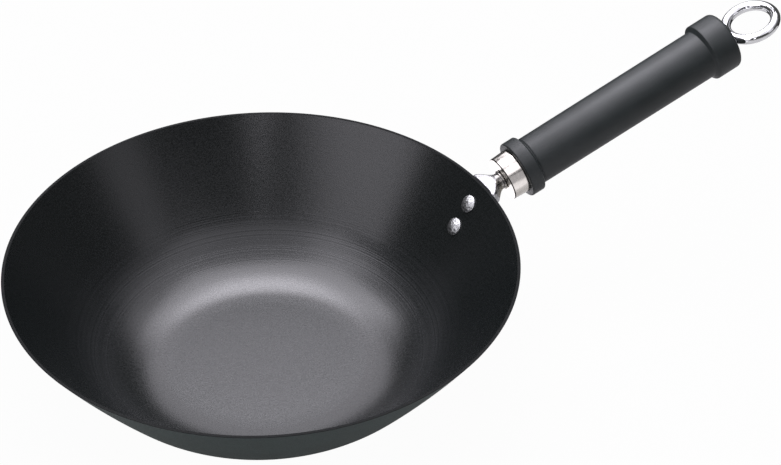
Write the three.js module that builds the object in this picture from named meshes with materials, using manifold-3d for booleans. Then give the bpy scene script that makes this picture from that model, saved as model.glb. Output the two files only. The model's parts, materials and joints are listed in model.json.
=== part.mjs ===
// A 30 cm wok: a spun steel bowl, a riveted bracket, a ferrule and a moulded grip that one long ring bolt
// pulls on to the bracket. Millimetres, +Z up. The origin is the centre of the bowl's underside, and the
// handle runs towards +X.
import * as THREE from "three";
import { mergeVertices } from "three/addons/utils/BufferGeometryUtils.js";
import Module from "manifold-3d";

const wasm = await Module();
wasm.setup();

// Gap kept between pieces that touch or pass through each other
const clearance = 0.3;

// Bowl
const rimDiameter = 300;
const bowlHeight = 78;
const baseDiameter = 120;
const bowlSheet = 1.6;
const baseCurveRadius = 70;
const baseCurveDegrees = 50.5;

// Line of the handle: its rise, and how far below the rim it crosses the rim's radius
const handleRiseDegrees = 17.1;
const handleDrop = 5.7;

// Rivets: distances are measured down the wall from the rim
const upperRivetDistance = 15;
const rivetSpacing = 16.7;
const rivetShankDiameter = 5;
const rivetHeadDiameter = 10.8;
const rivetHeadEdge = 0.4;
const rivetHeadHeight = 2.5;
const rivetTailDiameter = 9;
const rivetTailHeight = 1.6;
const rivetTailBevel = 0.5;

// Bracket: a foot on the wall, a bend under the rim, a round neck with a collar, and a tang in the grip
const footWidth = 24;
const footThickness = 2.6;
const footEdge = 10.3;
const footSquareness = 7;
const bendMargin = 1.3;
const bendEnd = 4.8;
const bendLead = 0.4;
const neckDiameter = 10.7;
const neckCollarLength = 1.4;
const neckCollarSeat = 1.1;
const tangWall = 1.5;
const tangLength = 21;
const tangFloor = 5;

// Shares of the way from the foot to the end of the neck over which the strap thickens, narrows and turns round
const thickTo = 0.4;
const narrowFrom = 0.34;
const narrowTo = 0.86;
const roundFrom = 0.3;
const roundTo = 0.88;

// Ferrule: a pressed cup over the front of the grip, placed along the handle from the rim's radius
const ferruleStart = 14.4;
const ferruleLength = 10.3;
const ferruleFrontDiameter = 27.8;
const ferruleRearDiameter = 29;
const ferruleSheet = 0.9;
const ferruleEdge = 0.5;

// Grip: one moulding with a collar at each end
const gripLength = 157.3;
const gripFrontDiameter = 30.8;
const gripRearDiameter = 31.6;
const frontCollarDiameter = 36.5;
const frontCollarLength = 8.6;
const frontCollarBevel = 1.6;
const rearCollarDiameter = 37.2;
const rearCollarLength = 16.6;
const rearCollarFlare = 1.8;
const collarEdge = 1;
const endRound = 2.5;

// Washers in the recess of the grip's end
const washerDiameter = 16;
const washerThickness = 1.2;
const lockWasherDiameter = 11;
const lockWasherThickness = 1.5;
const lockWasherSlit = 1.5;

// Ring bolt: a closed ring that starts inside a round shoulder and is bent up off the axis, on a long shank
// that screws into the tang
const ringMeanDiameter = 31.2;
const ringWireDiameter = 6.3;
const ringSink = 3;
const ringTurnDegrees = -3;
const ringLiftDegrees = 1.5;
const shoulderDiameter = 10;
const shoulderThickness = 4.7;
const shoulderInset = 1.4;
const boltDiameter = 6;
const boltTipGap = 1;

// Facets of the round surfaces and steps along the curved ones
const bowlFacets = 80;
const handleFacets = 48;
const strapFacets = 32;
const smallFacets = 24;
const ringFacets = 14;
const cornerSteps = 9;
const wallSteps = 6;
const bendSteps = 7;
const footEndSteps = 6;
const curveSteps = 4;

// Points of a mesh closer than this are one point
const weld = 1e-4;

// Places along the handle, from the point where its axis crosses the rim's radius
const neckEnd = ferruleStart - clearance;
const tangEnd = neckEnd + tangLength;
const threadEnd = neckEnd + tangFloor;
const boltTip = threadEnd + boltTipGap;
const ferruleEnd = ferruleStart + ferruleLength;
const gripStart = ferruleEnd + clearance;
const gripEnd = gripStart + gripLength;
const shoulderStart = gripEnd - shoulderInset;
const lockWasherStart = shoulderStart - clearance - lockWasherThickness;
const washerStart = lockWasherStart - clearance - washerThickness;
const recessFloor = washerStart - clearance;

// Radii that fit each other
const boltHoleRadius = boltDiameter / 2 + clearance;
const tangRadius = boltHoleRadius + tangWall;
const tangHoleRadius = tangRadius + clearance;
const neckCollarRadius = tangHoleRadius + neckCollarSeat;
const spigotRadius = Math.min(ferruleFrontDiameter, ferruleRearDiameter) / 2 - ferruleSheet - clearance;
const recessRadius = Math.max(washerDiameter, lockWasherDiameter, shoulderDiameter) / 2 + clearance;

// Places on the wall, measured down from the rim
const rivetDistances = {
  upper_rivet: upperRivetDistance,
  lower_rivet: upperRivetDistance + rivetSpacing,
};
const footReach = rivetDistances.lower_rivet + footEdge;
const bendStart = upperRivetDistance - rivetTailDiameter / 2 - bendMargin;

const quarterTurn = Math.PI / 2;
const radians = THREE.MathUtils.degToRad;
const mix = THREE.MathUtils.lerp;
const ease = THREE.MathUtils.smoothstep;
const shares = (steps) => Array.from({ length: steps + 1 }, (_, i) => i / steps);

// Axis of the handle, in the plane y = 0
const handleRise = radians(handleRiseDegrees);
const handleAxis = new THREE.Vector2(Math.cos(handleRise), Math.sin(handleRise));
const handleOrigin = new THREE.Vector2(rimDiameter / 2, bowlHeight - handleDrop);

// A closed mesh as a solid for joins and cuts
function solidOf(geometry) {
  const bare = geometry.clone();
  bare.deleteAttribute("normal");
  bare.deleteAttribute("uv");
  const merged = mergeVertices(bare, weld);
  const mesh = new wasm.Mesh({
    numProp: 3,
    vertProperties: merged.attributes.position.array,
    triVerts: new Uint32Array(merged.index.array),
  });
  return new wasm.Manifold(mesh);
}

function geometryOf(solid) {
  const mesh = solid.getMesh();
  const geometry = new THREE.BufferGeometry();
  geometry.setAttribute("position", new THREE.BufferAttribute(mesh.vertProperties, 3));
  geometry.setIndex(new THREE.BufferAttribute(mesh.triVerts, 1));
  geometry.computeVertexNormals();
  return geometry;
}

function named(name, geometry, color, roughness, metalness) {
  const material = new THREE.MeshStandardMaterial({ color, roughness, metalness });
  const mesh = new THREE.Mesh(geometry, material);
  mesh.name = name;
  return mesh;
}

// A body turned about local Y, from points [along, radius] in either order round its section.
// A section that doesn't start and end on the axis is closed on itself.
function turned(points, facets) {
  const profile = points.map(([along, radius]) => new THREE.Vector2(radius, along));
  if (THREE.ShapeUtils.area(profile) < 0) profile.reverse();
  if (profile[0].x > 0 || profile.at(-1).x > 0) profile.push(profile[0].clone());
  return new THREE.LatheGeometry(profile, facets);
}

function cylinder(radius, start, end) {
  return turned([[start, 0], [start, radius], [end, radius], [end, 0]], smallFacets);
}

// A skin through rings of equally many points, closed by a fan at each end
function lofted(rings) {
  const count = rings[0].length;
  const points = rings.flat();
  for (const ring of [rings[0], rings.at(-1)]) {
    const sum = ring.reduce((total, point) => total.add(point), new THREE.Vector3());
    points.push(sum.divideScalar(count));
  }
  const lastRing = (rings.length - 1) * count;
  const firstCentre = lastRing + count;
  const lastCentre = firstCentre + 1;
  const faces = [];
  for (let i = 0; i < count; i++) {
    const next = (i + 1) % count;
    for (let row = 0; row < lastRing; row += count) {
      const above = row + count;
      faces.push(row + i, row + next, above + next);
      faces.push(row + i, above + next, above + i);
    }
    faces.push(firstCentre, next, i);
    faces.push(lastCentre, lastRing + i, lastRing + next);
  }
  const geometry = new THREE.BufferGeometry().setFromPoints(points);
  geometry.setIndex(faces);
  return geometry;
}

// Outer side of the bowl from its centre to the rim, as points (radius, height)
function bowlOutline() {
  const turn = radians(baseCurveDegrees);
  const corner = new THREE.EllipseCurve(
    baseDiameter / 2, baseCurveRadius, baseCurveRadius, baseCurveRadius, -quarterTurn, turn - quarterTurn,
  );
  // The wall leaves the curve on its tangent and bends evenly up to the rim
  const wallStart = corner.getPoint(1);
  const rim = new THREE.Vector2(rimDiameter / 2, bowlHeight);
  const lead = wallStart.distanceTo(rim) / 2;
  const bend = new THREE.Vector2(Math.cos(turn), Math.sin(turn)).multiplyScalar(lead).add(wallStart);
  const wall = new THREE.QuadraticBezierCurve(wallStart, bend, rim);
  return [new THREE.Vector2(), ...corner.getPoints(cornerSteps), ...wall.getPoints(wallSteps).slice(1)];
}

const outline = bowlOutline();

// The outline moved square to itself, inwards for a positive distance
function movedOutline(distance) {
  return outline.map((point, i) => {
    const before = outline[Math.max(i - 1, 0)];
    const after = outline[Math.min(i + 1, outline.length - 1)];
    const along = after.clone().sub(before).normalize();
    return new THREE.Vector2(point.x - along.y * distance, point.y + along.x * distance);
  });
}

// Place on the outer wall at a distance down from the rim, with its direction up the wall and outwards
function wallAt(distance) {
  let left = distance;
  let i = outline.length - 1;
  while (i > 1 && left > outline[i].distanceTo(outline[i - 1])) {
    left -= outline[i].distanceTo(outline[i - 1]);
    i -= 1;
  }
  const along = outline[i].clone().sub(outline[i - 1]).normalize();
  const point = outline[i].clone().addScaledVector(along, -left);
  return { point, along, outward: new THREE.Vector2(along.y, -along.x) };
}

function turnedBowl(points) {
  const section = points.map((point) => [point.y, point.x]);
  return turned(section, bowlFacets).rotateX(quarterTurn);
}

// Turned parts of a rivet stand on local Y, which points into the bowl. Zero is the wall's outer side.
function rivetFrame(distance) {
  const { point, along, outward } = wallAt(distance);
  const matrix = new THREE.Matrix4().makeBasis(
    new THREE.Vector3(along.x, 0, along.y),
    new THREE.Vector3(-outward.x, 0, -outward.y),
    new THREE.Vector3(0, -1, 0),
  );
  return matrix.setPosition(point.x, 0, point.y);
}

function withRivetHoles(solid) {
  const radius = rivetShankDiameter / 2 + clearance;
  const reach = bowlSheet + 2 * footThickness;
  return Object.values(rivetDistances).reduce((cut, distance) => {
    const hole = cylinder(radius, -reach, reach).applyMatrix4(rivetFrame(distance));
    return cut.subtract(solidOf(hole));
  }, solid);
}

function bowl() {
  const inside = movedOutline(bowlSheet);
  // The sheet is cut level at the rim
  const { along } = wallAt(0);
  const top = inside.at(-1);
  top.addScaledVector(along, (bowlHeight - top.y) / along.y);
  return geometryOf(withRivetHoles(solidOf(turnedBowl([...outline, ...inside.reverse()]))));
}

function rivet(distance) {
  const headSeat = bowlSheet + clearance;
  const tailSeat = -footThickness - 2 * clearance;
  const tailEnd = tailSeat - rivetTailHeight;
  const headRadius = rivetHeadDiameter / 2;
  const tailRadius = rivetTailDiameter / 2;
  const shankRadius = rivetShankDiameter / 2;
  const headTop = headSeat + rivetHeadHeight;
  const domeHeight = rivetHeadHeight - rivetHeadEdge;
  const domeRadius = (headRadius ** 2 + domeHeight ** 2) / (2 * domeHeight);
  const domeAngle = Math.asin(headRadius / domeRadius);
  const dome = shares(curveSteps).map((share) => {
    const angle = domeAngle * (1 - share);
    return [headTop - domeRadius * (1 - Math.cos(angle)), domeRadius * Math.sin(angle)];
  });
  const section = [
    [tailEnd, 0],
    [tailEnd, tailRadius - rivetTailBevel],
    [tailEnd + rivetTailBevel, tailRadius],
    [tailSeat, tailRadius],
    [tailSeat, shankRadius],
    [headSeat, shankRadius],
    [headSeat, headRadius],
    ...dome,
  ];
  return turned(section, smallFacets).applyMatrix4(rivetFrame(distance));
}

// One ring of the strap: a rounded section square to its path, flat for a high power and round for 2
function strapRing({ centre, along, width, thickness, power }) {
  const rounded = (value) => Math.sign(value) * Math.abs(value) ** (2 / power);
  return Array.from({ length: strapFacets }, (_, i) => {
    const angle = (2 * Math.PI * i) / strapFacets;
    const side = (-width / 2) * rounded(Math.cos(angle));
    const out = (thickness / 2) * rounded(Math.sin(angle));
    return new THREE.Vector3(centre.x + along.y * out, side, centre.y - along.x * out);
  });
}

// The foot starts thicker than it ends up, because its back is cut to the shape of the wall
function strapSections() {
  const rawThickness = footThickness + bowlSheet;
  const endRadius = footWidth / 2;
  const footAt = (distance, width) => {
    const { point, along, outward } = wallAt(distance);
    const centre = point.clone().addScaledVector(outward, clearance + footThickness - rawThickness / 2);
    return { centre, along, width, thickness: rawThickness, power: footSquareness };
  };
  const footEnd = shares(footEndSteps).slice(1).map((share) => {
    const angle = quarterTurn * share;
    return footAt(footReach - endRadius * (1 - Math.cos(angle)), footWidth * Math.sin(angle));
  });
  const footSides = shares(curveSteps).slice(1).map((share) => {
    return footAt(mix(footReach - endRadius, bendStart, share), footWidth);
  });
  // The bend leaves the foot on its line and joins the handle's axis, then the neck runs on along the axis
  const foot = footSides.at(-1);
  const neckStart = handleAxis.clone().multiplyScalar(bendEnd).add(handleOrigin);
  const neckStop = handleAxis.clone().multiplyScalar(neckEnd).add(handleOrigin);
  const lead = foot.centre.distanceTo(neckStart) * bendLead;
  const bend = new THREE.CubicBezierCurve(
    foot.centre,
    foot.centre.clone().addScaledVector(foot.along, lead),
    neckStart.clone().addScaledVector(handleAxis, -lead),
    neckStart,
  );
  const steps = shares(bendSteps).slice(1);
  const path = [
    ...steps.map((share) => ({ centre: bend.getPoint(share), along: bend.getTangent(share) })),
    ...steps.map((share) => ({ centre: neckStart.clone().lerp(neckStop, share), along: handleAxis })),
  ];
  const shoulder = path.map((place, i) => {
    const share = (i + 1) / path.length;
    return {
      ...place,
      width: mix(footWidth, neckDiameter, ease(share, narrowFrom, narrowTo)),
      thickness: mix(rawThickness, neckDiameter, ease(share, 0, thickTo)),
      power: mix(footSquareness, 2, ease(share, roundFrom, roundTo)),
    };
  });
  return [...footEnd, ...footSides, ...shoulder];
}

// Frame of the handle: local Y runs along its axis, local X up and local Z to the side
const handleFrame = new THREE.Matrix4()
  .makeBasis(
    new THREE.Vector3(-handleAxis.y, 0, handleAxis.x),
    new THREE.Vector3(handleAxis.x, 0, handleAxis.y),
    new THREE.Vector3(0, 1, 0),
  )
  .setPosition(handleOrigin.x, 0, handleOrigin.y);

function bracket() {
  const strap = solidOf(lofted(strapSections().map(strapRing)));
  const collarBevel = neckCollarLength / 3;
  const collarStart = neckEnd - neckCollarLength;
  const tang = turned([
    [collarStart, 0],
    [collarStart, neckCollarRadius - collarBevel],
    [collarStart + collarBevel, neckCollarRadius],
    [neckEnd, neckCollarRadius],
    [neckEnd, tangRadius],
    [tangEnd, tangRadius],
    [tangEnd, boltHoleRadius],
    [threadEnd, boltHoleRadius],
    [threadEnd, 0],
  ], smallFacets);
  // The wall with the clearance round it, carried on past the rim, shapes the back of the foot
  const wall = movedOutline(-clearance);
  const { along } = wallAt(0);
  wall.push(wall.at(-1).clone().addScaledVector(along, footWidth));
  wall.push(new THREE.Vector2(0, wall.at(-1).y));
  const joined = strap.add(solidOf(tang.applyMatrix4(handleFrame)));
  return geometryOf(withRivetHoles(joined.subtract(solidOf(turnedBowl(wall)))));
}

function ferrule() {
  const frontRadius = ferruleFrontDiameter / 2;
  const rearRadius = ferruleRearDiameter / 2;
  return turned([
    [ferruleStart, tangHoleRadius],
    [ferruleStart, frontRadius - ferruleEdge],
    [ferruleStart + ferruleEdge, frontRadius],
    [ferruleEnd, rearRadius],
    [ferruleEnd, rearRadius - ferruleSheet],
    [ferruleStart + ferruleSheet, frontRadius - ferruleSheet],
    [ferruleStart + ferruleSheet, tangHoleRadius],
  ], handleFacets);
}

function grip() {
  const spigotStart = ferruleStart + ferruleSheet + clearance;
  const frontRadius = frontCollarDiameter / 2;
  const rearRadius = rearCollarDiameter / 2;
  const gripRear = gripRearDiameter / 2;
  const bevelStart = gripStart + frontCollarLength;
  const flareEnd = gripEnd - rearCollarLength;
  const flareStart = flareEnd - rearCollarFlare;
  const flare = shares(curveSteps).map((share) => {
    return [mix(flareStart, flareEnd, share), mix(gripRear, rearRadius, ease(share, 0, 1))];
  });
  const round = shares(curveSteps).map((share) => {
    const angle = quarterTurn * share;
    return [gripEnd - endRound * (1 - Math.sin(angle)), rearRadius - endRound * (1 - Math.cos(angle))];
  });
  return turned([
    [spigotStart, tangHoleRadius],
    [spigotStart, spigotRadius],
    [gripStart, spigotRadius],
    [gripStart, frontRadius - collarEdge],
    [gripStart + collarEdge, frontRadius],
    [bevelStart, frontRadius],
    [bevelStart + frontCollarBevel, gripFrontDiameter / 2],
    ...flare,
    ...round,
    [gripEnd, recessRadius],
    [recessFloor, recessRadius],
    [recessFloor, boltHoleRadius],
    [tangEnd + clearance, boltHoleRadius],
    [tangEnd + clearance, tangHoleRadius],
  ], handleFacets);
}

function endWasher() {
  const end = washerStart + washerThickness;
  const radius = washerDiameter / 2;
  return turned([
    [washerStart, boltHoleRadius],
    [washerStart, radius],
    [end, radius],
    [end, boltHoleRadius],
  ], smallFacets);
}

function lockWasher() {
  const halfSlit = lockWasherSlit / lockWasherDiameter;
  const shape = new THREE.Shape();
  shape.absarc(0, 0, lockWasherDiameter / 2, halfSlit, 2 * Math.PI - halfSlit, false);
  shape.absarc(0, 0, boltHoleRadius, 2 * Math.PI - halfSlit, halfSlit, true);
  const options = { depth: lockWasherThickness, bevelEnabled: false, curveSegments: smallFacets };
  return new THREE.ExtrudeGeometry(shape, options).rotateX(-quarterTurn).translate(0, lockWasherStart, 0);
}

function ringBolt() {
  const meanRadius = ringMeanDiameter / 2;
  const wireRadius = ringWireDiameter / 2;
  const ring = new THREE.TorusGeometry(meanRadius, wireRadius, ringFacets, handleFacets);
  ring.rotateY(quarterTurn + radians(ringTurnDegrees));
  ring.translate(0, meanRadius + wireRadius, 0);
  ring.rotateZ(-radians(ringLiftDegrees));
  ring.translate(0, shoulderStart + ringSink, 0);
  const shoulder = cylinder(shoulderDiameter / 2, shoulderStart, shoulderStart + shoulderThickness);
  const shank = cylinder(boltDiameter / 2, boltTip, shoulderStart + shoulderThickness / 2);
  return geometryOf(solidOf(ring).add(solidOf(shoulder)).add(solidOf(shank)));
}

const wok = new THREE.Group();
wok.add(named("wok_body", bowl(), 0x2b2f31, 0.45, 0.6));
wok.add(named("handle_bracket", bracket(), 0xd8d8d6, 0.15, 1));
for (const [name, distance] of Object.entries(rivetDistances)) {
  wok.add(named(name, rivet(distance), 0xcfd0d0, 0.3, 1));
}

const handle = new THREE.Group();
handle.applyMatrix4(handleFrame);
handle.add(named("ferrule", ferrule(), 0xcfc9bd, 0.2, 1));
handle.add(named("handle_grip", grip(), 0x26282a, 0.5, 0));
handle.add(named("end_washer", endWasher(), 0xb9bbbd, 0.35, 1));
handle.add(named("lock_washer", lockWasher(), 0xa9abad, 0.4, 1));
handle.add(named("hanging_ring_bolt", ringBolt(), 0xe2e3e4, 0.08, 1));
wok.add(handle);

export default wok;
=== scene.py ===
import json
import math

import bmesh
import bpy
from mathutils import Matrix, Vector


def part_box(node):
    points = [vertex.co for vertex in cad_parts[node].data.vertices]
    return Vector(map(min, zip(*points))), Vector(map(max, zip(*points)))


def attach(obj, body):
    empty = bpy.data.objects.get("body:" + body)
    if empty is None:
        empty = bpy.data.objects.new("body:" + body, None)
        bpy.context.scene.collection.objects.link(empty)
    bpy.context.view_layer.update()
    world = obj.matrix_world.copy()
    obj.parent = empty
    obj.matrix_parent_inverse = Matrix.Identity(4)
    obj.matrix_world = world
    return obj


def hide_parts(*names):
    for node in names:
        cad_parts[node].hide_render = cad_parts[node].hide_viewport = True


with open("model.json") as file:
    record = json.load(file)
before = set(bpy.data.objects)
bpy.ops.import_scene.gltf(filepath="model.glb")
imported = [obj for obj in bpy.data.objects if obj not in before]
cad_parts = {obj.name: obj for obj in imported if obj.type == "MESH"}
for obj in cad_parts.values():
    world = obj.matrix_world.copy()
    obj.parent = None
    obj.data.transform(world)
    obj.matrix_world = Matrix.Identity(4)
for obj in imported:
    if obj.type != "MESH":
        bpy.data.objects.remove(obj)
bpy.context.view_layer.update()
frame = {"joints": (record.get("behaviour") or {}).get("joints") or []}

# Lengths are in metres and angles in degrees.
# Gap kept between pieces that touch
CLEARANCE = 0.0003

# Bowl: a gentle lead goes from the flat base into the curve of the lower wall
RIM_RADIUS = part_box("wok_body")[1].x
BOWL_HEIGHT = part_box("wok_body")[1].z
BASE_RADIUS = 0.060
SHEET = 0.0016
BASE_CURVE_RADIUS = 0.070
BASE_CURVE_DEGREES = 50.5
BASE_LEAD = 0.009
BASE_LEAD_DEGREES = 2.5
RIM_ROUND = 0.0002

# Rivets, measured down the wall from the rim
RIVETS = {"upper_rivet": 0.0150, "lower_rivet": 0.0317}
RIVET_SHANK_RADIUS = 0.0025
RIVET_HEAD_RADIUS = 0.0054
RIVET_HEAD_EDGE = 0.0004
RIVET_HEAD_HEIGHT = 0.0025
RIVET_TAIL_RADIUS = 0.0045
RIVET_TAIL_HEIGHT = 0.0016
RIVET_TAIL_ROUND = 0.0006

# Bracket: a strap with a squarish section on the wall, which bends away from it and becomes a round neck
FOOT_WIDTH = 0.024
FOOT_THICKNESS = 0.0026
FOOT_REACH = 0.042
FOOT_SQUARENESS = 7
NECK_ROUNDNESS = 2
BEND_START = 0.0092
BEND_END = 0.0048
BEND_LEAD = 0.4
NECK_DIAMETER = 0.0107
NECK_COLLAR_RADIUS = 0.0062
NECK_COLLAR_LENGTH = 0.0014

# Shares of the way from the start of the bend to the end of the neck, where the strap changes
NARROW_FROM = 0.34
NARROW_TO = 0.86
THICK_TO = 0.4
ROUND_FROM = 0.3
ROUND_TO = 0.88

# Ferrule, placed along the handle from the rim's radius
FERRULE_START = 0.0144
FERRULE_LENGTH = 0.0103
FERRULE_FRONT_RADIUS = 0.0139
FERRULE_REAR_RADIUS = 0.0145
FERRULE_SHEET = 0.0009
FERRULE_ROUND = 0.0006
TANG_RADIUS = 0.0048

# Grip
GRIP_LENGTH = 0.1573
GRIP_FRONT_RADIUS = 0.0154
GRIP_REAR_RADIUS = 0.0158
SPIGOT_RADIUS = 0.0127
FRONT_COLLAR_RADIUS = 0.01825
FRONT_COLLAR_LENGTH = 0.0086
FRONT_COLLAR_BEVEL = 0.0016
FRONT_GROOVE_DEPTH = 0.0006
FRONT_GROOVE_WIDTH = 0.0011
REAR_COLLAR_RADIUS = 0.0186
REAR_COLLAR_LENGTH = 0.0166
REAR_COLLAR_FLARE = 0.0018
COLLAR_ROUND = 0.0010
END_ROUND = 0.0027

# Washers and ring bolt at the end of the grip
WASHER_RADIUS = 0.008
WASHER_THICKNESS = 0.0012
LOCK_WASHER_RADIUS = 0.0055
LOCK_WASHER_THICKNESS = 0.0015
LOCK_WASHER_SLIT_DEGREES = 16
WASHER_ROUND = 0.0002
SHOULDER_RADIUS = 0.005
SHOULDER_THICKNESS = 0.0047
SHOULDER_INSET = 0.0014
BOLT_RADIUS = 0.003
BOLT_SHOWN_LENGTH = 0.012
RING_MEAN_RADIUS = 0.0156
RING_WIRE_RADIUS = 0.00315
RING_SINK = 0.003
RING_TURN_DEGREES = -3
RING_LIFT_DEGREES = 1.5

# Places along the handle, from the point where its axis crosses the rim's radius
NECK_END = FERRULE_START - CLEARANCE
FERRULE_END = FERRULE_START + FERRULE_LENGTH
SPIGOT_START = FERRULE_START + FERRULE_SHEET + CLEARANCE
GRIP_START = FERRULE_END + CLEARANCE
GRIP_END = GRIP_START + GRIP_LENGTH
SHOULDER_START = GRIP_END - SHOULDER_INSET
SHOULDER_END = SHOULDER_START + SHOULDER_THICKNESS
SHANK_START = SHOULDER_START - BOLT_SHOWN_LENGTH
LOCK_WASHER_START = SHOULDER_START - CLEARANCE - LOCK_WASHER_THICKNESS
WASHER_START = LOCK_WASHER_START - CLEARANCE - WASHER_THICKNESS
RECESS_FLOOR = WASHER_START - CLEARANCE
RECESS_RADIUS = WASHER_RADIUS + CLEARANCE
TANG_HOLE_RADIUS = TANG_RADIUS + CLEARANCE
BOLT_HOLE_RADIUS = BOLT_RADIUS + CLEARANCE

# Steps round the turned pieces and along their curves
BOWL_SEGMENTS = 256
HANDLE_SEGMENTS = 128
SMALL_SEGMENTS = 64
CURVE_STEPS = 48
STRAP_STEPS = 24
DOME_STEPS = 16
FOOT_STEPS = 16
ROUND_STEPS = 6
SHARP_DEGREES = 40
MERGE_DISTANCE = 1e-7

# In the looks, scales are marks per metre, depths are heights of bumps, and colours run from dark to light.
# Part of the range of a noise that its marks fill
NOISE_RANGE = (0.35, 0.65)
NOISE_DETAIL = 2

# Coat inside the bowl: one coat in two copies, darker on the wall as painted shade and lighter on the base
# as painted light
COAT_GRAIN_SCALE = 1100
COAT_GRAIN_DETAIL = 3
COAT_GRAIN_DEPTH = 0.00004
COAT_ROUGHNESS = (0.22, 0.3)
COAT_IOR = 1.6
SHADED_WALL_COAT_COLOURS = ((0.0026, 0.0038, 0.0038), (0.0072, 0.0092, 0.0092))
LIT_BASE_COAT_COLOURS = ((0.0055, 0.0075, 0.0075), (0.0125, 0.0155, 0.0155))

# Turned lines in the wall's coat: real turned lines, painted paler as a painted highlight in the band where
# the highlight falls. They fade in and out over these radii, down to a faint rest
LINE_SCALE = 1400
LINE_DETAIL = 1
LINE_AND_SHEEN_COLOURS = ((0, 0, 0), (0.015, 0.015, 0.016))
LINE_HEIGHT = 1.3
LINE_FADE_IN = (0.084, 0.094)
LINE_FADE_OUT = (0.102, 0.118)
LINE_REST = 0.1

# Enamel outside and the cut edge of the rim
ENAMEL_COLOURS = ((0.005, 0.024, 0.022), (0.009, 0.032, 0.030))
ENAMEL_CLOUD_SCALE = 60
ENAMEL_CLOUD_DETAIL = 4
ENAMEL_GRAIN_SCALE = 1500
ENAMEL_GRAIN_DEPTH = 0.00002
ENAMEL_ROUGHNESS = (0.4, 0.52)
RIM_COLOURS = ((0.003, 0.004, 0.004), (0.011, 0.012, 0.012))
RIM_WEAR_SCALE = 180
RIM_WEAR_DETAIL = 5
RIM_WEAR_RANGE = (0.45, 0.7)
RIM_WEAR_DEPTH = 0.00003
RIM_ROUGHNESS = (0.4, 0.55)
RIM_SPECULAR = 0.08

# Moulding of the grip
GRIP_COLOURS = ((0.010, 0.0135, 0.0135), (0.014, 0.018, 0.018))
GRIP_CLOUD_SCALE = 90
GRIP_GRAIN_SCALE = 1800
GRIP_DETAIL = 3
GRIP_GRAIN_DEPTH = 0.00003
GRIP_ROUGHNESS = (0.42, 0.5)
GRIP_IOR = 1.46

# Rivets, washers and ring: the wear is the part of the colour that the marks take away
MARK_DETAIL = 4
PLAIN_WEAR = 0.1
RIVET_COLOUR = (0.74, 0.75, 0.75)
RIVET_WEAR = 0.6
RIVET_ROUGHNESS = (0.26, 0.42)
RIVET_MARK_SCALE = 750
RIVET_MARK_DEPTH = 0.0006
WASHER_COLOUR = (0.6, 0.61, 0.62)
WASHER_ROUGHNESS = (0.3, 0.45)
WASHER_MARK_SCALE = 900
WASHER_MARK_DEPTH = 0.00002
RING_COLOUR = (0.88, 0.89, 0.9)
RING_ROUGHNESS = (0.04, 0.09)
RING_MARK_SCALE = 300
RING_MARK_DEPTH = 0.00001

# Plating of the bracket. Along the handle, where the neck begins, its colour turns to a painted dark
# reflection mottled with painted brownish reflections
PLATING_COLOURS = ((0.36, 0.36, 0.37), (0.52, 0.52, 0.53))
PLATING_ROUGHNESS = (0.2, 0.3)
PLATING_MARK_SCALE = 500
PLATING_MARK_DEPTH = 0.00003
NECK_PAINTED_REFLECTION_COLOURS = ((0.11, 0.11, 0.11), (0.6, 0.58, 0.54))
NECK_REFLECTION_PATCH_SCALE = 300
NECK_REFLECTION_PATCH_RANGE = (0.4, 0.66)
NECK_PAINTED_REFLECTION_RANGE = (0.1555, 0.157)

# Ferrule's metal, with a painted dark reflection as a line that starts on the front edge and ends past its
# rounding
FERRULE_COLOURS = ((0.74, 0.71, 0.66), (0.82, 0.79, 0.73))
FERRULE_ROUGHNESS = (0.16, 0.24)
FERRULE_MARK_SCALE = 450
FERRULE_MARK_DEPTH = 0.00002
FERRULE_PAINTED_REFLECTION_COLOUR = (0.05, 0.05, 0.045)
FERRULE_REFLECTION_FADE_IN = (0, FERRULE_ROUND / 6)
FERRULE_REFLECTION_FADE_OUT = (FERRULE_ROUND, FERRULE_ROUND * 1.3)

# Camera, from the rim's ellipse and the line of the handle in the photograph
HANDLE_DEGREES = 25.5
CAMERA_PLACE = Vector((0, -1.0457, 0.9126))
CAMERA_TURN_DEGREES = 4.089
CAMERA_DROP_DEGREES = 37.966
FOCAL_PIXELS = 2306
PHOTO_WIDTH = 781
SENSOR_WIDTH = 36

# Floor: a white paper that ends behind the bowl, on a dark ground that only reflections show
FLOOR_HALF_WIDTH = 14
FLOOR_COLOUR = (0.4, 0.4, 0.39)
FLOOR_DARK = (0.02, 0.02, 0.02)
FLOOR_WHITE_SEEN = 0.97
FLOOR_WHITE_MIRRORED = 0.15
PAPER_END_RANGE = (0.25, 0.27)

# Studio light
WORLD_LEVEL = 0.075
LAMP_COLOUR = (0.95, 0.925, 1.0)
LAMP_DISTANCE = 2.0

# Lamps: heading and elevation from the bowl, width and height as angles seen from it, radiance.
# Headings turn clockwise from straight away from the camera.
LAMPS = {
    "key_lamp": (0, 60, 17, 18, 5.6),
    "key_halo": (354, 67, 46, 40, 3.5),
    "key_left_lamp": (328, 43, 18, 14, 1.1),
    "key_right_lamp": (36, 47, 18, 12, 0.8),
    "ceiling_lamp": (0, 89, 84, 84, 0.9),
    "rear_lamp": (358, 30, 24, 28, 2.2),
    "low_lamp": (333, 14, 26, 14, 0.6),
    "upper_left_lamp": (258, 58, 34, 22, 1.5),
    "left_lamp": (230, 30, 52, 18, 2.0),
    "front_lamp": (182, 29, 7, 20, 3.0),
    "right_lamp": (92, 50, 52, 36, 0.3),
    "low_right_lamp": (114, 26, 20, 20, 0.6),
}

# Pale cards near the handle: place and facing as the camera sees the floor in plan, width, height, radiance
CARDS = {
    "grip_card": ((0.235, 0.112, 0.33), (0.88, 0, -0.47), 0.2, 0.24, 2.0),
    "ferrule_card": ((0.183, 0.009, 0.212), (0.6, 0.3, -0.74), 0.1, 0.13, 0.8),
    "bounce_card": ((0.21, -0.015, 0.075), (-0.35, 0.94, 0), 0.085, 0.15, 0.42),
    "floor_card": ((0.117, 0.134, 0.001), (0, 0, 1), 0.07, 0.07, 1.1),
}

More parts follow.
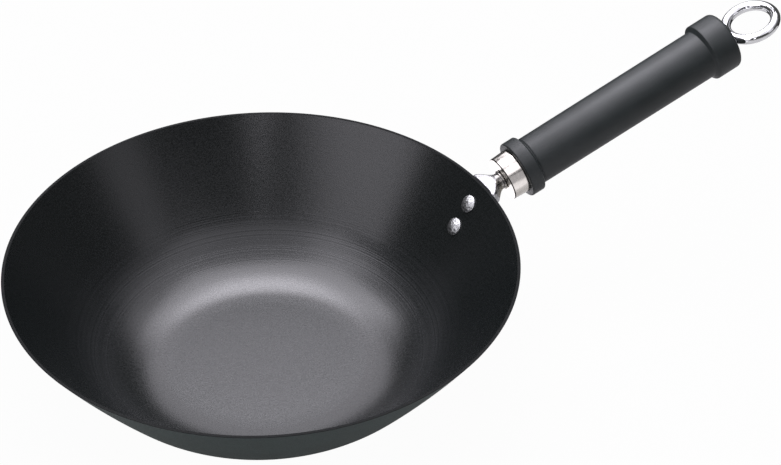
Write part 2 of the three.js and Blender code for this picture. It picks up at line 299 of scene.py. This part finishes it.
# The ring bolt turns about the handle's axis, so the hinge gives the line of the handle.
hinge = frame["joints"][0]
handle_origin = Vector(hinge["pos_m"])
handle_axis = Vector(hinge["axis"]).normalized()

# Turns a place given in plan as the camera sees the floor into the frame
camera_plan = Matrix.Rotation(math.radians(-HANDLE_DEGREES), 3, "Z")


def frame_of(axis, up, place):
    """Matrix whose local Z runs along axis and local X lies towards up."""
    z = axis.normalized()
    x = (up - z * up.dot(z)).normalized()
    matrix = Matrix((x, z.cross(x), z)).transposed().to_4x4()
    matrix.translation = place
    return matrix


handle_frame = frame_of(handle_axis, Vector((0, 0, 1)), handle_origin)


def shares(steps):
    """Even steps from 0 to 1."""
    return [i / steps for i in range(steps + 1)]


def mix(a, b, t):
    """A value between a and b."""
    return a + (b - a) * t


def ease(t, start, end):
    """A smooth rise from 0 to 1 between start and end."""
    t = min(max((t - start) / (end - start), 0), 1)
    return t * t * (3 - 2 * t)


def bent(start, corner, stop, steps):
    """Points of a curve from start to stop that leans towards a corner."""
    points = []
    for t in shares(steps):
        points.append(start * (1 - t) ** 2 + corner * 2 * t * (1 - t) + stop * t ** 2)
    return points


def rounded(corners):
    """A section through corners (along, radius, round), each rounded off by its own radius."""
    points = []
    for i, (along, radius, size) in enumerate(corners):
        corner = Vector((along, radius))
        if not size or i in (0, len(corners) - 1):
            points.append(corner)
            continue
        ends = [Vector(corners[j][:2]) - corner for j in (i - 1, i + 1)]
        half_turn = ends[0].angle(ends[1]) / 2
        reach = min(size / math.tan(half_turn), ends[0].length / 2, ends[1].length / 2)
        start, stop = (corner + end.normalized() * reach for end in ends)
        points += bent(start, corner, stop, ROUND_STEPS)
    return points


def upright(point):
    """A point of the section through the handle, in space."""
    return Vector((point.x, 0, point.y))


def finished(name, shape, materials, body, nodes):
    """Turns a shape into a smooth piece that rides on a body and stands for nodes of the frame."""
    bmesh.ops.remove_doubles(shape, verts=shape.verts, dist=MERGE_DISTANCE)
    bmesh.ops.recalc_face_normals(shape, faces=shape.faces)
    mesh = bpy.data.meshes.new(name)
    shape.to_mesh(mesh)
    shape.free()
    mesh.shade_smooth()
    mesh.set_sharp_from_angle(angle=math.radians(SHARP_DEGREES))
    for material in materials:
        mesh.materials.append(material)
    piece = bpy.data.objects.new(name, mesh)
    bpy.context.collection.objects.link(piece)
    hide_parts(*nodes)
    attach(piece, body)


def bridge(shape, here, there, spans):
    """Faces between two rows of vertices. As many spans as vertices close the rows into rings."""
    faces = []
    for j in range(spans):
        k = (j + 1) % len(here)
        faces.append(shape.faces.new((here[j], here[k], there[k], there[j])))
    return faces


def revolve(shape, section, matrix, segments, slot_of=None, turn=(0, 360)):
    """Turns a section of points (along, radius) about local Z. A part turn gets flat ends."""
    closed = section[0][1] > 0 or section[-1][1] > 0
    whole = turn[1] - turn[0] >= 360
    count = segments if whole else segments + 1
    rows = []
    for i in range(count):
        angle = math.radians(mix(turn[0], turn[1], i / segments))
        cos = math.cos(angle)
        sin = math.sin(angle)
        rows.append([shape.verts.new(matrix @ Vector((r * cos, r * sin, s))) for s, r in section])
    spans = len(section) if closed else len(section) - 1
    for i in range(segments):
        for j, face in enumerate(bridge(shape, rows[i], rows[(i + 1) % count], spans)):
            face.material_index = slot_of(j) if slot_of else 0
    if not whole:
        shape.faces.new(rows[0])
        shape.faces.new(rows[-1])


def turned(name, section, matrix, material, nodes, segments=HANDLE_SEGMENTS):
    """A turned piece of one material on the wok."""
    shape = bmesh.new()
    revolve(shape, section, matrix, segments)
    finished(name, shape, [material], "wok", nodes)


def bowl_outline():
    """Outer side of the bowl from its centre to the rim, as points (radius, height)."""
    flat_radius = BASE_RADIUS - BASE_LEAD
    lead_slope = math.radians(BASE_LEAD_DEGREES)
    wall_slope = math.radians(BASE_CURVE_DEGREES)

    def spoke(slope):
        return Vector((math.sin(slope), -math.cos(slope))) * BASE_CURVE_RADIUS

    flat = [Vector((flat_radius * t, 0)) for t in shares(ROUND_STEPS)[:-1]]
    lead_rise = BASE_LEAD * lead_slope / 2
    lead = [Vector((flat_radius + BASE_LEAD * t, lead_rise * t ** 2)) for t in shares(ROUND_STEPS)]
    centre = lead[-1] - spoke(lead_slope)
    curve = [centre + spoke(mix(lead_slope, wall_slope, t)) for t in shares(CURVE_STEPS)]
    rim = Vector((RIM_RADIUS, BOWL_HEIGHT))
    half_way = (rim - curve[-1]).length / 2
    lean = curve[-1] + Vector((math.cos(wall_slope), math.sin(wall_slope))) * half_way
    wall = bent(curve[-1], lean, rim, CURVE_STEPS)
    return flat + lead + curve[1:] + wall[1:]


outline = bowl_outline()


def moved_outline(distance):
    """The outline moved square to itself, inwards for a positive distance."""
    moved = []
    for i, point in enumerate(outline):
        along = (outline[min(i + 1, len(outline) - 1)] - outline[max(i - 1, 0)]).normalized()
        moved.append(point + Vector((-along.y, along.x)) * distance)
    return moved


def wall_at(distance):
    """Place on the outer wall at a distance down from the rim, its direction up the wall and outwards."""
    i = len(outline) - 1
    while distance > (outline[i] - outline[i - 1]).length:
        distance -= (outline[i] - outline[i - 1]).length
        i -= 1
    along = (outline[i] - outline[i - 1]).normalized()
    return outline[i] - along * distance, along, Vector((along.y, -along.x))


def off_wall(point):
    """The point, moved out to the wall's clearance if it lies nearer or inside."""
    radius = Vector((point.x, point.y)).length
    here = Vector((radius, point.z))
    rim, up, _ = wall_at(0)
    path = outline[1:] + [rim + up * FOOT_WIDTH]
    best = None
    for start, end in zip(path, path[1:]):
        along = end - start
        t = min(max((here - start).dot(along) / along.length_squared, 0), 1)
        gap = here - (start + along * t)
        if best is None or gap.length < best[0].length:
            best = gap, Vector((along.y, -along.x)).normalized()
    gap, outward = best
    depth = CLEARANCE - gap.dot(outward)
    if depth <= 0:
        return point
    step = outward * depth
    growth = 1 + step.x / radius
    return Vector((point.x * growth, point.y * growth, point.z + step.y))


def feed(tree, socket, value):
    """Links a socket to another node's output, or sets it to a value."""
    if isinstance(value, bpy.types.NodeSocket):
        tree.links.new(value, socket)
    else:
        socket.default_value = value


def node(tree, kind, settings=None, **inputs):
    """A shader node with its settings, and its inputs set or linked by name."""
    made = tree.nodes.new("ShaderNode" + kind)
    for key, value in (settings or {}).items():
        setattr(made, key, value)
    for key, value in inputs.items():
        feed(tree, made.inputs[key.replace("_", " ")], value)
    return made


def worked_out(tree, kind, operation, values):
    """Outputs of a maths node, with its inputs set or linked in order."""
    made = node(tree, kind, {"operation": operation})
    for socket, value in zip(made.inputs, values):
        feed(tree, socket, value)
    return made.outputs


def maths(tree, operation, *values):
    """Result of an operation on numbers."""
    return worked_out(tree, "Math", operation, values)["Value"]


def distance_along(tree, place, start, direction):
    """Distance of a place from a start, measured along a direction."""
    from_start = worked_out(tree, "VectorMath", "SUBTRACT", (place, start))["Vector"]
    return worked_out(tree, "VectorMath", "DOT_PRODUCT", (from_start, direction))["Value"]


def radius_of(tree, place):
    """Distance from the bowl's axis."""
    parts = node(tree, "SeparateXYZ", Vector=place).outputs
    squares = [maths(tree, "POWER", parts[axis], 2) for axis in "XY"]
    return maths(tree, "SQRT", maths(tree, "ADD", *squares))


def noise(tree, place, scale, detail=NOISE_DETAIL):
    """Irregular marks, as a value about the middle of 0 to 1."""
    return node(tree, "TexNoise", Vector=place, Scale=scale, Detail=detail).outputs["Fac"]


def spread(tree, value, low=0, high=1, over=NOISE_RANGE):
    """A value between the ends of a range, spread over low to high."""
    start, end = over
    made = node(tree, "MapRange", Value=value, From_Min=start, From_Max=end, To_Min=low, To_Max=high)
    return made.outputs["Result"]


def blended(tree, value, colours):
    """A colour between two, by a value from 0 to 1."""
    ramp = node(tree, "ValToRGB", Fac=value)
    for element, colour in zip(ramp.color_ramp.elements, colours):
        element.color = (*colour, 1)
    return ramp.outputs["Color"]


def mixed(tree, part, first, second, blend="MIX"):
    """Two colours mixed, with a part of the second."""
    made = node(tree, "MixRGB", {"blend_type": blend}, Fac=part, Color1=first, Color2=second)
    return made.outputs["Color"]


def new_material(name):
    """A material with its tree, its shader and the place on the object as a vector."""
    material = bpy.data.materials.new(name)
    material.use_nodes = True
    tree = material.node_tree
    shader = tree.nodes["Principled BSDF"]
    return material, tree, shader, node(tree, "TexCoord").outputs["Object"]


def set_surface(tree, shader, colour, roughness, height, depth, **settings):
    """Links a shader's colour, roughness and bumps, and sets its other inputs by name."""
    bump = node(tree, "Bump", Height=height, Distance=depth)
    tree.links.new(colour, shader.inputs["Base Color"])
    tree.links.new(roughness, shader.inputs["Roughness"])
    tree.links.new(bump.outputs["Normal"], shader.inputs["Normal"])
    for key, value in settings.items():
        shader.inputs[key.replace("_", " ")].default_value = value


def lit_base_coat():
    """Charcoal non-stick coat with a fine grain, on the flat base: a lighter copy of the wall's coat, with
    painted light in its colour.
    """
    material, tree, shader, place = new_material("lit_base_coat")
    grain = noise(tree, place, COAT_GRAIN_SCALE, COAT_GRAIN_DETAIL)
    colour = blended(tree, spread(tree, grain), LIT_BASE_COAT_COLOURS)
    roughness = spread(tree, grain, *COAT_ROUGHNESS)
    set_surface(tree, shader, colour, roughness, grain, COAT_GRAIN_DEPTH, IOR=COAT_IOR)
    return material


def shaded_wall_coat():
    """The same coat on the wall, given a darker colour as painted shade, with the paler lines of the turned
    sheet, partly real lines and partly a painted highlight.
    """
    material, tree, shader, place = new_material("shaded_wall_coat")
    grain = noise(tree, place, COAT_GRAIN_SCALE, COAT_GRAIN_DETAIL)
    radius = radius_of(tree, place)
    lines = noise(tree, node(tree, "CombineXYZ", X=radius).outputs["Vector"], LINE_SCALE, LINE_DETAIL)
    fade_in = spread(tree, radius, 0, 1, LINE_FADE_IN)
    fade_out = spread(tree, radius, 1, LINE_REST, LINE_FADE_OUT)
    ridges_and_sheen = maths(tree, "MULTIPLY", spread(tree, lines), maths(tree, "MULTIPLY", fade_in, fade_out))
    plain = blended(tree, spread(tree, grain), SHADED_WALL_COAT_COLOURS)
    # The paler colour of the lines is partly real turned lines and partly a painted highlight
    colour = mixed(tree, 1, plain, blended(tree, ridges_and_sheen, LINE_AND_SHEEN_COLOURS), "ADD")
    roughness = spread(tree, grain, *COAT_ROUGHNESS)
    height = maths(tree, "MULTIPLY_ADD", ridges_and_sheen, LINE_HEIGHT, grain)
    set_surface(tree, shader, colour, roughness, height, COAT_GRAIN_DEPTH, IOR=COAT_IOR)
    return material


def outside_enamel():
    """Dark enamel with a green cast, a little clouded."""
    material, tree, shader, place = new_material("outside_enamel")
    cloud = noise(tree, place, ENAMEL_CLOUD_SCALE, ENAMEL_CLOUD_DETAIL)
    grain = noise(tree, place, ENAMEL_GRAIN_SCALE)
    colour = blended(tree, spread(tree, cloud), ENAMEL_COLOURS)
    roughness = spread(tree, grain, *ENAMEL_ROUGHNESS)
    set_surface(tree, shader, colour, roughness, grain, ENAMEL_GRAIN_DEPTH)
    return material


def rim_edge():
    """Cut edge of the sheet, coated like the bowl but thinner, so that it is worn paler in places."""
    material, tree, shader, place = new_material("rim_edge")
    wear = noise(tree, place, RIM_WEAR_SCALE, RIM_WEAR_DETAIL)
    colour = blended(tree, spread(tree, wear, over=RIM_WEAR_RANGE), RIM_COLOURS)
    roughness = spread(tree, wear, *RIM_ROUGHNESS)
    set_surface(tree, shader, colour, roughness, wear, RIM_WEAR_DEPTH, Specular_IOR_Level=RIM_SPECULAR)
    return material


def metal(name, colour, wear, rough, mark_scale, mark_depth):
    """Bright metal with fine marks: colour and roughness vary a little with them."""
    material, tree, shader, place = new_material(name)
    marks = noise(tree, place, mark_scale, MARK_DETAIL)
    worn = tuple(part * (1 - wear) for part in colour)
    shade = blended(tree, spread(tree, marks), (worn, colour))
    set_surface(tree, shader, shade, spread(tree, marks, *rough), marks, mark_depth, Metallic=1)
    return material


def rivet_metal():
    """Bright metal, mottled by the setting of the rivets."""
    return metal(
        "rivet_metal", RIVET_COLOUR, RIVET_WEAR, RIVET_ROUGHNESS, RIVET_MARK_SCALE, RIVET_MARK_DEPTH
    )


def washer_steel():
    """Satin zinc-plated steel."""
    return metal(
        "washer_steel", WASHER_COLOUR, PLAIN_WEAR, WASHER_ROUGHNESS, WASHER_MARK_SCALE, WASHER_MARK_DEPTH
    )


def ring_chrome():
    """Mirror-bright chrome."""
    return metal("ring_chrome", RING_COLOUR, PLAIN_WEAR, RING_ROUGHNESS, RING_MARK_SCALE, RING_MARK_DEPTH)


def bracket_plating():
    """Bright plating on the shoulder, and a neck coloured with a painted dark reflection and patches of
    painted brownish reflection.
    """
    material, tree, shader, place = new_material("bracket_plating")
    marks = noise(tree, place, PLATING_MARK_SCALE, MARK_DETAIL)
    reflection_patches = noise(tree, place, NECK_REFLECTION_PATCH_SCALE)
    along = node(tree, "SeparateXYZ", Vector=place).outputs["X"]
    on_painted_neck = spread(tree, along, over=NECK_PAINTED_REFLECTION_RANGE)
    plated = blended(tree, spread(tree, marks), PLATING_COLOURS)
    # Painted dark reflection on the neck, with patches of painted brownish reflection
    painted_reflection = blended(tree, spread(tree, reflection_patches, over=NECK_REFLECTION_PATCH_RANGE), NECK_PAINTED_REFLECTION_COLOURS)
    colour = mixed(tree, on_painted_neck, plated, painted_reflection)
    roughness = spread(tree, marks, *PLATING_ROUGHNESS)
    set_surface(tree, shader, colour, roughness, marks, PLATING_MARK_DEPTH, Metallic=1)
    return material


def ferrule_metal():
    """Warm polished metal, with a painted dark reflection along the rounded front edge."""
    material, tree, shader, place = new_material("ferrule_metal")
    marks = noise(tree, place, FERRULE_MARK_SCALE, MARK_DETAIL)
    along = distance_along(tree, place, handle_origin + handle_axis * FERRULE_START, handle_axis)
    fade_in = spread(tree, along, 0, 1, FERRULE_REFLECTION_FADE_IN)
    fade_out = spread(tree, along, 1, 0, FERRULE_REFLECTION_FADE_OUT)
    on_painted_reflection = maths(tree, "MULTIPLY", fade_in, fade_out)
    bright = blended(tree, spread(tree, marks), FERRULE_COLOURS)
    # Painted dark reflection along the ferrule's rounded front edge
    colour = mixed(tree, on_painted_reflection, bright, (*FERRULE_PAINTED_REFLECTION_COLOUR, 1))
    roughness = spread(tree, marks, *FERRULE_ROUGHNESS)
    set_surface(tree, shader, colour, roughness, marks, FERRULE_MARK_DEPTH, Metallic=1)
    return material


def grip_moulding():
    """Satin black moulding with a fine spark grain."""
    material, tree, shader, place = new_material("grip_moulding")
    grain = noise(tree, place, GRIP_GRAIN_SCALE, GRIP_DETAIL)
    cloud = noise(tree, place, GRIP_CLOUD_SCALE, GRIP_DETAIL)
    colour = blended(tree, spread(tree, cloud), GRIP_COLOURS)
    roughness = spread(tree, grain, *GRIP_ROUGHNESS)
    set_surface(tree, shader, colour, roughness, grain, GRIP_GRAIN_DEPTH, IOR=GRIP_IOR)
    return material


def make_bowl():
    """Spun sheet with a darker copy of the coat on the inner wall as painted shade, a lighter copy on the
    base as painted light, a cut rim and enamel outside.
    """
    inside = moved_outline(SHEET)
    _, along, _ = wall_at(0)
    inside[-1] += along * (BOWL_HEIGHT - inside[-1].y) / along.y
    edge = [(BOWL_HEIGHT, point.x, RIM_ROUND) for point in (outline[-1], inside[-1])]
    rim = rounded([(outline[-2].y, outline[-2].x, 0), *edge, (inside[-2].y, inside[-2].x, 0)])
    outer = [(point.y, point.x) for point in outline[:-2]]
    inner = [(point.y, point.x) for point in inside[-3::-1]]
    section = outer + rim + inner
    rim_start = len(outer)
    rim_end = rim_start + len(rim) - 1
    base_start = len(section) - 1 - 2 * ROUND_STEPS
    coats = [shaded_wall_coat(), lit_base_coat(), rim_edge(), outside_enamel()]
    wall_slot, base_slot, rim_slot, outside_slot = range(len(coats))

    def slot_of(i):
        if i <= rim_start:
            return outside_slot
        if i < rim_end - 1:
            return rim_slot
        return base_slot if i >= base_start else wall_slot

    shape = bmesh.new()
    revolve(shape, section, Matrix.Identity(4), BOWL_SEGMENTS, slot_of)
    finished("bowl", shape, coats, "wok", ["wok_body"])


def make_rivets():
    """Two rivets with a domed head inside the bowl and a flat tail on the bracket's foot."""
    material = rivet_metal()
    head_seat = SHEET + CLEARANCE
    tail_seat = -FOOT_THICKNESS - 2 * CLEARANCE
    tail_end = tail_seat - RIVET_TAIL_HEIGHT
    dome_height = RIVET_HEAD_HEIGHT - RIVET_HEAD_EDGE
    dome_radius = (RIVET_HEAD_RADIUS ** 2 + dome_height ** 2) / (2 * dome_height)
    dome_turn = math.asin(RIVET_HEAD_RADIUS / dome_radius)
    head_top = head_seat + RIVET_HEAD_HEIGHT
    section = rounded([
        (tail_end, 0, 0),
        (tail_end, RIVET_TAIL_RADIUS, RIVET_TAIL_ROUND),
        (tail_seat, RIVET_TAIL_RADIUS, 0),
        (tail_seat, RIVET_SHANK_RADIUS, 0),
        (head_seat, RIVET_SHANK_RADIUS, 0),
        (head_seat, RIVET_HEAD_RADIUS, 0),
    ])
    for t in shares(DOME_STEPS):
        turn = dome_turn * (1 - t)
        drop = dome_radius * (1 - math.cos(turn))
        section.append(Vector((head_top - drop, dome_radius * math.sin(turn))))
    for name, distance in RIVETS.items():
        point, along, outward = wall_at(distance)
        matrix = frame_of(upright(-outward), upright(along), upright(point))
        turned(name + "_turned", section, matrix, material, [name], SMALL_SEGMENTS)


def bend_path(foot, foot_along):
    """Centres and directions of the strap from the top of its foot to the end of the neck."""
    origin = Vector((handle_origin.x, handle_origin.z))
    axis = Vector((handle_axis.x, handle_axis.z))
    neck_start = origin + axis * BEND_END
    neck_stop = origin + axis * NECK_END
    lead = (neck_start - foot).length * BEND_LEAD
    controls = [foot, foot + foot_along * lead, neck_start - axis * lead, neck_start]
    path = []
    for t in shares(STRAP_STEPS)[1:]:
        weights = [(1 - t) ** 3, 3 * t * (1 - t) ** 2, 3 * t ** 2 * (1 - t), t ** 3]
        slopes = [-(1 - t) ** 2, (1 - t) ** 2 - 2 * t * (1 - t), 2 * t * (1 - t) - t ** 2, t ** 2]
        centre = sum((c * w for c, w in zip(controls, weights)), Vector((0, 0)))
        along = sum((c * w for c, w in zip(controls, slopes)), Vector((0, 0)))
        path.append((centre, along.normalized()))
    path += [(neck_start.lerp(neck_stop, t), axis) for t in shares(STRAP_STEPS)[1:]]
    return path


def strap_sections():
    """Centre, direction, width, thickness and squareness of the strap from its foot's end to its neck."""
    raw = FOOT_THICKNESS + SHEET
    end_radius = FOOT_WIDTH / 2

    def foot_at(distance, width):
        point, along, outward = wall_at(distance)
        centre = point + outward * (CLEARANCE + FOOT_THICKNESS - raw / 2)
        return centre, along, width, raw, FOOT_SQUARENESS

    sections = []
    for t in shares(STRAP_STEPS)[1:]:
        turn = math.pi / 2 * t
        distance = FOOT_REACH - end_radius * (1 - math.cos(turn))
        sections.append(foot_at(distance, FOOT_WIDTH * math.sin(turn)))
    for t in shares(FOOT_STEPS)[1:]:
        sections.append(foot_at(mix(FOOT_REACH - end_radius, BEND_START, t), FOOT_WIDTH))
    path = bend_path(*sections[-1][:2])
    for i, (centre, along) in enumerate(path):
        t = (i + 1) / len(path)
        width = mix(FOOT_WIDTH, NECK_DIAMETER, ease(t, NARROW_FROM, NARROW_TO))
        thickness = mix(raw, NECK_DIAMETER, ease(t, 0, THICK_TO))
        power = mix(FOOT_SQUARENESS, NECK_ROUNDNESS, ease(t, ROUND_FROM, ROUND_TO))
        sections.append((centre, along, width, thickness, power))
    return sections


def squared(value, power):
    """A sine or cosine pushed outwards, so that a circle nears a square as the power grows."""
    return math.copysign(abs(value) ** (2 / power), value)


def strap_row(shape, centre, along, width, thickness, power):
    """Vertices round one section of the strap, kept clear of the wall."""
    outward = Vector((along.y, -along.x))
    row = []
    for i in range(SMALL_SEGMENTS):
        angle = math.tau * i / SMALL_SEGMENTS
        middle = upright(centre + outward * squared(math.sin(angle), power) * thickness / 2)
        side = Vector((0, squared(math.cos(angle), power) * width / 2, 0))
        row.append(shape.verts.new(off_wall(middle + side)))
    return row


def make_bracket():
    """Strap from the foot on the wall to the neck, with a turned collar and tang."""
    shape = bmesh.new()
    rows = [strap_row(shape, *section) for section in strap_sections()]
    for here, there in zip(rows, rows[1:]):
        bridge(shape, here, there, SMALL_SEGMENTS)
    shape.faces.new(rows[0])
    shape.faces.new(rows[-1])
    collar = rounded([
        (NECK_END - NECK_COLLAR_LENGTH, 0, 0),
        (NECK_END - NECK_COLLAR_LENGTH, NECK_COLLAR_RADIUS, NECK_COLLAR_LENGTH / 2),
        (NECK_END, NECK_COLLAR_RADIUS, NECK_COLLAR_LENGTH / 4),
        (NECK_END, TANG_RADIUS, 0),
        (GRIP_START, TANG_RADIUS, 0),
        (GRIP_START, 0, 0),
    ])
    revolve(shape, collar, handle_frame, SMALL_SEGMENTS)
    finished("bracket", shape, [bracket_plating()], "wok", ["handle_bracket"])


def make_ferrule():
    """Metal cup with a hole for the tang, open towards the grip."""
    floor = FERRULE_START + FERRULE_SHEET
    section = rounded([
        (FERRULE_START, TANG_HOLE_RADIUS, 0),
        (FERRULE_START, FERRULE_FRONT_RADIUS, FERRULE_ROUND),
        (FERRULE_END, FERRULE_REAR_RADIUS, FERRULE_ROUND / 2),
        (FERRULE_END, FERRULE_REAR_RADIUS - FERRULE_SHEET, 0),
        (floor, FERRULE_FRONT_RADIUS - FERRULE_SHEET, 0),
        (floor, TANG_HOLE_RADIUS, 0),
    ])
    turned("ferrule_cup", section, handle_frame, ferrule_metal(), ["ferrule"])


def make_grip():
    """Moulding with a spigot in the ferrule, a collar at each end and a recess for the washers."""
    groove = GRIP_START + FRONT_COLLAR_LENGTH + FRONT_COLLAR_BEVEL
    flare_end = GRIP_END - REAR_COLLAR_LENGTH
    flare_start = flare_end - REAR_COLLAR_FLARE
    section = rounded([
        (SPIGOT_START, TANG_HOLE_RADIUS, 0),
        (SPIGOT_START, SPIGOT_RADIUS, 0),
        (GRIP_START, SPIGOT_RADIUS, 0),
        (GRIP_START, FRONT_COLLAR_RADIUS, COLLAR_ROUND),
        (GRIP_START + FRONT_COLLAR_LENGTH, FRONT_COLLAR_RADIUS, COLLAR_ROUND),
        (groove, GRIP_FRONT_RADIUS - FRONT_GROOVE_DEPTH, FRONT_GROOVE_DEPTH / 2),
        (groove + FRONT_GROOVE_WIDTH, GRIP_FRONT_RADIUS, FRONT_GROOVE_WIDTH / 2),
        (flare_start, GRIP_REAR_RADIUS, REAR_COLLAR_FLARE / 2),
        (flare_end, REAR_COLLAR_RADIUS, COLLAR_ROUND),
        (GRIP_END, REAR_COLLAR_RADIUS, END_ROUND),
        (GRIP_END, RECESS_RADIUS, WASHER_ROUND),
        (RECESS_FLOOR, RECESS_RADIUS, 0),
        (RECESS_FLOOR, TANG_HOLE_RADIUS, 0),
    ])
    turned("grip", section, handle_frame, grip_moulding(), ["handle_grip"])


def washer_section(start, thickness, radius):
    """Section of a washer round the bolt."""
    end = start + thickness
    return rounded([
        (start, BOLT_HOLE_RADIUS, 0),
        (start, radius, WASHER_ROUND),
        (end, radius, WASHER_ROUND),
        (end, BOLT_HOLE_RADIUS, 0),
    ])


def make_washers():
    """Flat washer on the floor of the recess, and a split one on it with a slit towards the top."""
    material = washer_steel()
    flat = washer_section(WASHER_START, WASHER_THICKNESS, WASHER_RADIUS)
    turned("flat_washer", flat, handle_frame, material, ["end_washer"], SMALL_SEGMENTS)
    split = washer_section(LOCK_WASHER_START, LOCK_WASHER_THICKNESS, LOCK_WASHER_RADIUS)
    slit = LOCK_WASHER_SLIT_DEGREES / 2
    shape = bmesh.new()
    revolve(shape, split, handle_frame, SMALL_SEGMENTS, turn=(slit, 360 - slit))
    finished("split_washer", shape, [material], "wok", ["lock_washer"])


def make_ring():
    """Ring, shoulder and the near end of the shank, which the grip hides."""
    root = Matrix.Translation((0, 0, SHOULDER_START + RING_SINK))
    lift = Matrix.Rotation(math.radians(RING_LIFT_DEGREES), 4, "Y")
    reach = Matrix.Translation((0, 0, RING_MEAN_RADIUS + RING_WIRE_RADIUS))
    turn = Matrix.Rotation(math.radians(RING_TURN_DEGREES), 4, "Z")
    across_handle = frame_of(Vector((1, 0, 0)), Vector((0, 0, 1)), Vector((0, 0, 0)))
    wire = []
    for i in range(SMALL_SEGMENTS):
        angle = math.tau * i / SMALL_SEGMENTS
        side = RING_WIRE_RADIUS * math.sin(angle)
        wire.append((side, RING_MEAN_RADIUS + RING_WIRE_RADIUS * math.cos(angle)))
    shank = rounded([
        (SHANK_START, 0, 0),
        (SHANK_START, BOLT_RADIUS, 0),
        (SHOULDER_START, BOLT_RADIUS, 0),
        (SHOULDER_START, SHOULDER_RADIUS, WASHER_ROUND),
        (SHOULDER_END, SHOULDER_RADIUS, SHOULDER_THICKNESS / 2),
        (SHOULDER_END, 0, 0),
    ])
    shape = bmesh.new()
    revolve(shape, wire, handle_frame @ root @ lift @ reach @ turn @ across_handle, HANDLE_SEGMENTS)
    revolve(shape, shank, handle_frame, SMALL_SEGMENTS)
    finished("ring_bolt", shape, [ring_chrome()], "ring", ["hanging_ring_bolt"])


def towards(heading, elevation):
    """Direction from the bowl, with headings turned clockwise from straight away from the camera."""
    turn = math.radians(heading + HANDLE_DEGREES)
    rise = math.radians(elevation)
    return Vector((math.sin(turn) * math.cos(rise), math.cos(turn) * math.cos(rise), math.sin(rise)))


def floor_paper():
    """White paper: white to the camera, weakly white in reflections, and dark in them beyond its end."""
    material = bpy.data.materials.new("floor")
    material.use_nodes = True
    tree = material.node_tree
    tree.nodes.clear()
    rays = node(tree, "LightPath").outputs
    seen = maths(tree, "MAXIMUM", rays["Is Camera Ray"], rays["Is Transmission Ray"])
    seen_white = maths(tree, "MULTIPLY", seen, FLOOR_WHITE_SEEN)
    place = node(tree, "TexCoord").outputs["Object"]
    away = distance_along(tree, place, Vector((0, 0, 0)), towards(0, 0))
    beyond = spread(tree, away, over=PAPER_END_RANGE)
    dark = maths(tree, "MULTIPLY", rays["Is Glossy Ray"], beyond)
    on_paper = maths(tree, "SUBTRACT", rays["Is Glossy Ray"], dark)
    mirrored_white = maths(tree, "MULTIPLY", on_paper, FLOOR_WHITE_MIRRORED)
    colour = mixed(tree, dark, (*FLOOR_COLOUR, 1), (*FLOOR_DARK, 1))
    pale = node(tree, "BsdfDiffuse", Color=colour).outputs["BSDF"]
    white = node(tree, "Emission", Color=(1, 1, 1, 1), Strength=1).outputs["Emission"]
    surface = node(tree, "MixShader", Fac=maths(tree, "MAXIMUM", seen_white, mirrored_white))
    tree.links.new(pale, surface.inputs[1])
    tree.links.new(white, surface.inputs[2])
    tree.links.new(surface.outputs["Shader"], node(tree, "OutputMaterial").inputs["Surface"])
    return material


def make_floor():
    """Floor under the wok, which takes its shadow."""
    shape = bmesh.new()
    bmesh.ops.create_grid(shape, x_segments=1, y_segments=1, size=FLOOR_HALF_WIDTH)
    mesh = bpy.data.meshes.new("floor")
    shape.to_mesh(mesh)
    shape.free()
    mesh.materials.append(floor_paper())
    floor = bpy.data.objects.new("floor", mesh)
    floor.location.z = -CLEARANCE
    bpy.context.collection.objects.link(floor)


def make_lamp(name, place, facing, width, height, radiance):
    """A flat lamp that lights the object and shows in reflections, but isn't seen itself."""
    light = bpy.data.lights.new(name, "AREA")
    light.shape = "RECTANGLE"
    light.size = width
    light.size_y = height
    light.energy = radiance * math.pi * width * height
    light.color = LAMP_COLOUR
    lamp = bpy.data.objects.new(name, light)
    lamp.location = place
    lamp.rotation_euler = (-facing).to_track_quat("Z", "Y").to_euler()
    lamp.visible_camera = False
    bpy.context.collection.objects.link(lamp)


def seen_size(angle):
    """Size of a lamp that looks an angle wide from the bowl."""
    return 2 * LAMP_DISTANCE * math.tan(math.radians(angle) / 2)


def make_lights():
    """Lamps all round, cards near the handle, and a weak even light from everywhere."""
    for name, (heading, elevation, width, height, radiance) in LAMPS.items():
        away = towards(heading, elevation)
        make_lamp(name, away * LAMP_DISTANCE, -away, seen_size(width), seen_size(height), radiance)
    for name, (place, facing, width, height, radiance) in CARDS.items():
        make_lamp(name, camera_plan @ Vector(place), camera_plan @ Vector(facing), width, height, radiance)
    world = bpy.data.worlds.new("studio")
    world.use_nodes = True
    background = world.node_tree.nodes["Background"]
    background.inputs["Color"].default_value = (1, 1, 1, 1)
    background.inputs["Strength"].default_value = WORLD_LEVEL
    bpy.context.scene.world = world


def make_camera():
    """Camera where the photograph was taken from."""
    data = bpy.data.cameras.new("camera")
    data.sensor_width = SENSOR_WIDTH
    data.lens = FOCAL_PIXELS * SENSOR_WIDTH / PHOTO_WIDTH
    camera = bpy.data.objects.new("camera", data)
    camera.location = camera_plan @ CAMERA_PLACE
    turn = math.radians(-HANDLE_DEGREES - CAMERA_TURN_DEGREES)
    camera.rotation_euler = (math.radians(90 - CAMERA_DROP_DEGREES), 0, turn)
    bpy.context.collection.objects.link(camera)
    bpy.context.scene.camera = camera


make_bowl()
make_rivets()
make_bracket()
make_ferrule()
make_grip()
make_washers()
make_ring()
make_floor()
make_lights()
make_camera()
bpy.context.scene.view_settings.view_transform = "Standard"
